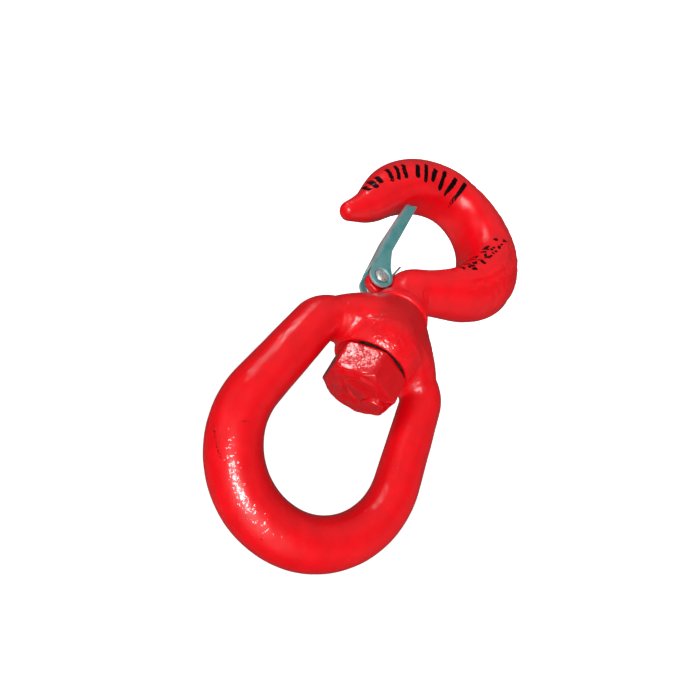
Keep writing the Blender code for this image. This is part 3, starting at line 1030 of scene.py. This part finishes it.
def make_marks(hook_mesh):
    """Hand-drawn marker on the hook's near side: plain strokes that spell nothing."""
    points = to_local(vertices(hook_mesh), SWIVEL_ANGLE)
    tree = BVHTree.FromPolygons(points.tolist(), [tuple(f.vertices) for f in hook_mesh.polygons])
    corners, faces = [], []
    for line, width in marker_lines():
        rings = stroke_rings(tree, line, width)
        if len(rings) < 3:
            continue
        faces += stroke_faces(len(corners), len(rings), len(STROKE_SECTION))
        corners += [tuple(corner) for ring in rings for corner in ring]
    mesh = bpy.data.meshes.new("marker_strokes")
    mesh.from_pydata(to_row(np.array(corners), SWIVEL_ANGLE).tolist(), [], faces)
    mesh.shade_smooth()
    piece(mesh, "hook", "hook_red_paint", ink())


# Nut and weld


def hexagon(angles):
    """Radius of a hexagon whose corners are rounded the less, the greater the power."""
    power = 60
    total = np.zeros_like(angles)
    for k in range(6):
        facing = np.cos(angles - NUT_TURN - math.radians(60.0 * k))
        total += np.maximum(facing / (0.5 * NUT_FLATS), 0.0) ** power
    return total ** (-1.0 / power)


def round_directions(count):
    """Unit directions round Z, as rows of (x, y, 0)."""
    angles = np.linspace(0.0, 2.0 * math.pi, count, endpoint=False)
    return np.column_stack((np.cos(angles), np.sin(angles), np.zeros(count)))


def nut_rings():
    """Rings out over the nut's face, up its chamfered sides and in over its end."""
    around = round_directions(288)
    sides = hexagon(np.arctan2(around[:, 1], around[:, 0]))
    wave = np.array([noise.noise(Vector((*(d[:2] * 2.6), 7.3))) for d in around])
    inner = SHANK_RADIUS + 0.3
    rings = [around * inner + (0.0, 0.0, NUT_FACE)]
    for share in np.linspace(0.1, 0.95, 6):
        rings.append(around * (inner + (NUT_FACE_FLAT - inner) * share) + (0.0, 0.0, NUT_FACE))
    lower_half = np.linspace(NUT_FACE, NUT_END - 5.0, 22)
    upper_half = np.linspace(NUT_END - 4.8, NUT_END, 22)
    for z in (*lower_half, *upper_half):
        upper = NUT_EDGE_RADIUS + NUT_EDGE_SLOPE * (NUT_END - z + NUT_EDGE_WAVE * wave)
        lower = NUT_FACE_RADIUS + NUT_FACE_SLOPE * (z - NUT_FACE)
        total = sum(np.exp(-limit / NUT_SOFTNESS) for limit in (sides, upper, lower))
        reach = np.maximum(-NUT_SOFTNESS * np.log(total), NUT_LEAST_RADIUS)
        rings.append(around * reach[:, None] + (0.0, 0.0, z))
    edge = np.linalg.norm(rings[-1][:, :2], axis=1)
    for share in np.linspace(0.12, 1.0, 10):
        rings.append(around * (edge + (inner - edge) * share)[:, None] + (0.0, 0.0, NUT_END))
    return np.array(rings)


def make_nut():
    """Hexagon nut: wavy chamfers, softened corners, thick paint."""
    rings = nut_rings()
    flat = rings.reshape(-1, 3)
    away = np.column_stack((flat[:, :2] / np.hypot(*flat[:, :2].T)[:, None], np.zeros(len(flat))))
    near_end = rise(flat[:, 2], NUT_END - 5.0, 4.0)
    flat += away * (lumps(flat, NUT_RIM_LUMPS) * near_end)[:, None]
    flat += away * lumps(flat, NUT_SIDE_LUMPS)[:, None]
    flat[:, 2] += lumps(flat, NUT_END_LUMPS) * (flat[:, 2] > NUT_END - 1.5)
    mesh = grid_mesh("nut_hexagon", flat.reshape(rings.shape), SWIVEL_ANGLE, closed=True)
    # The nut gets the darker red, as painted shade.
    skin = paint("nut_paint", NUT_SHADED_RED, peel=1.2, depth=0.09, sheen=0.3)
    piece(mesh, "hook", "nut_red_paint", skin, "hex_nut")


def weld_height(x, y):
    """Low painted bead over the nut and shank joint, with a ridge and a curved groove."""
    radius = np.hypot(x, y)
    bead = 0.7 * bell(radius - 8.0, 3.2)
    ridge = 0.6 * bell(y - 0.6 * x - 5.0, 2.0)
    groove = 0.5 * bell(y + 0.5 * x - 1.0 + 0.04 * x * x, 1.3) * (radius < 11.0)
    return 0.35 + bead + ridge - groove


def make_weld():
    """Lumpy painted bead with one large flat-topped tack at its edge."""
    around = round_directions(180)
    rim = WELD_RADIUS + 0.4 * np.array([noise.noise(Vector((*(d[:2] * 2.0), 1.4))) for d in around])
    foot = (0.0, 0.0, WELD_FOOT)
    rings = [around * 0.3 + foot, around * rim[:, None] * 0.97 + foot]
    for share in np.concatenate(([1.0, 0.99], np.linspace(0.975, 0.03, 48))):
        ring = around * rim[:, None] * share
        height = weld_height(ring[:, 0], ring[:, 1]) + 0.35 * ripple(ring, 4.5, 3.7)
        edge = (1.0 - share ** 3.0) ** 0.6
        ring[:, 2] = WELD_FOOT + np.maximum(0.05, (height + NUT_END - WELD_FOOT) * edge)
        rings.append(ring)
    tack = []
    for radius, height in TACK_PROFILE:
        ring = around * radius + (*TACK, NUT_END + height)
        ring += 0.3 * ripple(ring, 4.0, 6.3)[:, None] * (1.0, 1.0, 0.6)
        tack.append(ring)
    mesh = grid_mesh("weld_bead", rings, SWIVEL_ANGLE)
    both = bmesh.new()
    both.from_mesh(mesh)
    both.from_mesh(grid_mesh("tack", tack, SWIVEL_ANGLE))
    both.to_mesh(mesh)
    both.free()
    mesh.shade_smooth()
    # The weld gets the darker red, as painted shade.
    piece(mesh, "hook", "weld_red_paint", paint("weld_paint", NUT_SHADED_RED), "nut_lock_weld")


# Latch, rivet and spring


def latch_hollow():
    """Outline of the channel's inside: open at the front and over the ears."""
    far = 15.0
    inner = [(x - SHEET, z) for x, z in LATCH_BACK]
    end_x, end_z = inner[-1][0], inner[-1][1] - 5.0
    return [(-far, far), (far, far), (far, inner[0][1]), *inner[:-1], (end_x, end_z), (-far, end_z)]


def latch_field(points):
    """Pressed channel with round, dished ears, about the pivot."""
    local = points - PIVOT_POINT
    shape = arc((0.0, 0.0), EAR_RADIUS, -8.0, 212.0, 40) + [*LATCH_FRONT[::-1], *LATCH_BACK[::-1]]
    web = rise(local[:, 0], 3.5, 3.0) * fall(local[:, 2], -4.0, 4.0)
    outside = slab(local, shape, EAR_HALF_WIDTH, 0.35 + 2.6 * web)
    inside = slab(local, latch_hollow(), EAR_HALF_WIDTH - SHEET, 0.2 + 1.2 * web)
    body = cut(outside, inside, 0.3)
    dish = cylinder_y(local, (-0.3, -0.3), DISH_RADIUS)
    floor = np.zeros_like(local)
    floor[:, 1] = np.sign(local[:, 1])
    deep = EAR_HALF_WIDTH - DISH_DEPTH - np.abs(local[:, 1]), -floor
    body = cut(body, trim(dish, deep, 0.6), 0.3)
    return cut(body, cylinder_y(local, (0.0, 0.0), PIN_HOLE), 0.2)


def make_latch():
    """Sheet latch, marked paler as painted highlight and reflection where its surface turns away from
    the ears' flat sides: the web, the bends and the cut edges.
    """
    mesh = remeshed("safety_latch", "latch_channel", 0.28)
    points, normal = settle(mesh, latch_field, SWIVEL_ANGLE)
    give_points(mesh, points, SWIVEL_ANGLE)
    # Painted highlight and reflection on the web, bends and cut edges.
    mark(mesh, "edge", fall(np.abs(normal[:, 1]), 0.85, 0.625))
    piece(mesh, "latch", "latch_zinc", zinc(), "safety_latch")


def make_rivet():
    """Pin with two peened heads."""
    profile = [(radius, -EAR_HALF_WIDTH - y) for radius, y in RIVET_HEAD]
    profile += [(RIVET_SHANK, y) for y in np.linspace(-5.0, 5.0, 5)]
    profile += [(radius, EAR_HALF_WIDTH + y) for radius, y in RIVET_HEAD[::-1]]
    around = round_directions(48)[:, (0, 2, 1)]
    rings = []
    for radius, y in profile:
        ring = around * radius + (0.0, y, 0.0)
        if abs(y) > EAR_HALF_WIDTH - 1.0:
            ring += 0.22 * ripple(ring, 1.6, 5.5)[:, None] * (0.6, 1.0, 0.6)
        rings.append(ring + PIVOT_POINT)
    mesh = grid_mesh("rivet_pin", rings, SWIVEL_ANGLE)
    peened = steel("rivet_peened", RIVET_GREY, 0.9, 0.2, 0.5)
    piece(mesh, "hook", "rivet_steel", peened, "latch_rivet")


def spring_path():
    """Wire from the neck, round the coil beside the lug, to the bight on the latch's web."""
    first, last = COIL_ANGLES
    inner = LUG_HALF_WIDTH + 0.3 + WIRE_RADIUS
    outer = inner + COIL_PITCH * (first - last) / 360.0
    path = [(x, outer, z) for x, z in SPRING_TAIL]
    for share in np.linspace(0.0, 1.0, 60):
        angle = math.radians(first + (last - first) * share)
        y = outer + (inner - outer) * share
        path.append((COIL_RADIUS * math.cos(angle), y, COIL_RADIUS * math.sin(angle)))
    path += [(x, inner, z) for x, z in SPRING_LEG]
    path += [(x, inner * share, z) for x, share, z in SPRING_BIGHT]
    return np.array(path + [(x, -y, z) for x, y, z in reversed(path)])


def wire_rings(path, radius, sides):
    """Rings round a path, turned as little as possible from one to the next."""
    along = np.gradient(path, axis=0)
    along /= np.linalg.norm(along, axis=1)[:, None]
    angles = np.linspace(0.0, 2.0 * math.pi, sides, endpoint=False)
    side = np.array((0.0, 1.0, 0.0))
    rings = []
    for point, ahead in zip(path, along):
        side = side - ahead * side.dot(ahead)
        side /= np.linalg.norm(side)
        across = np.cross(ahead, side)
        ring = np.outer(np.cos(angles), side) + np.outer(np.sin(angles), across)
        rings.append(point + radius * ring)
    return np.array(rings)


def make_spring():
    """Torsion spring: its legs rest on the hook and its bight on the latch's web; it is parented to
    no body.
    """
    rings = wire_rings(spring_path() + PIVOT_POINT, WIRE_RADIUS, 12)
    mesh = grid_mesh("spring_coils", rings, SWIVEL_ANGLE)
    mesh.materials.append(steel("spring_steel", SPRING_GREY, 0.7, 0.25, 0.45))
    obj = bpy.data.objects.new(mesh.name, mesh)
    bpy.context.scene.collection.objects.link(obj)
    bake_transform(obj)
    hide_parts("latch_spring")


# Studio


def add_camera():
    """Camera low over the eye and upside down to the load line, as the hook was shown."""
    right, down = Vector(CAMERA_RIGHT), Vector(CAMERA_DOWN)
    ahead = right.cross(down)
    data = bpy.data.cameras.new("camera")
    data.lens, data.sensor_width = CAMERA_LENS, CAMERA_SENSOR
    data.shift_x, data.shift_y = CAMERA_SHIFT
    data.clip_start = 0.005
    camera = bpy.data.objects.new("camera", data)
    bpy.context.scene.collection.objects.link(camera)
    rows = [(right[k], -down[k], -ahead[k], CAMERA_PLACE[k]) for k in range(3)]
    camera.matrix_world = Matrix((*rows, (0.0, 0.0, 0.0, 1.0)))
    bpy.context.scene.camera = camera


def area_light(name, aim, direction, distance, side, power, diffuse, glossy):
    """Square softbox at a distance from aim, facing it."""
    data = bpy.data.lights.new(name, "AREA")
    data.shape = "SQUARE"
    data.size = side
    data.energy = power
    light = bpy.data.objects.new(name, data)
    towards = Vector(direction).normalized()
    light.location = Vector(aim) + towards * distance
    light.rotation_euler = towards.to_track_quat("Z", "Y").to_euler()
    light.visible_camera = False
    light.visible_diffuse = diffuse
    light.visible_glossy = glossy
    bpy.context.scene.collection.objects.link(light)


def add_world():
    """White background that hardly lights the hook, so that the paint stays deep."""
    world = bpy.data.worlds.new("studio")
    world.use_nodes = True
    tree = world.node_tree
    background = tree.nodes["Background"]
    background.inputs["Color"].default_value = (1.0, 1.0, 1.0, 1.0)
    rays = tree.nodes.new("ShaderNodeLightPath")
    mix = tree.nodes.new("ShaderNodeMix")
    mix.inputs["A"].default_value = SURROUND
    mix.inputs["B"].default_value = BACKDROP
    tree.links.new(rays.outputs["Is Camera Ray"], mix.inputs["Factor"])
    tree.links.new(mix.outputs["Result"], background.inputs["Strength"])
    world.cycles.sampling_method = "NONE"
    bpy.context.scene.world = world
    bpy.context.scene.view_settings.view_transform = "Standard"


def add_floor():
    """Pale floor well below the hanging hook."""
    mesh = bpy.data.meshes.new("floor")
    signs = ((-1.0, -1.0), (1.0, -1.0), (1.0, 1.0), (-1.0, 1.0))
    corners = [(x * FLOOR_HALF, y * FLOOR_HALF, cad_box[0][2] - FLOOR_DROP) for x, y in signs]
    mesh.from_pydata(corners, [], [(0, 1, 2, 3)])
    n = Nodes("floor_pale")
    n.set(Base_Color=n.mix(n.noise(400.0), *FLOOR_PALE), Roughness=0.9)
    n.set(Emission_Color=(1.0, 1.0, 1.0), Emission_Strength=1.0)
    mesh.materials.append(n.material)
    floor = bpy.data.objects.new("floor", mesh)
    bpy.context.scene.collection.objects.link(floor)
    floor.visible_glossy = False
    floor.visible_diffuse = False


make_eye()
make_marks(make_hook())
make_nut()
make_weld()
make_latch()
make_rivet()
make_spring()
add_camera()
add_world()
for light in LIGHTS:
    area_light(*light)
add_floor()
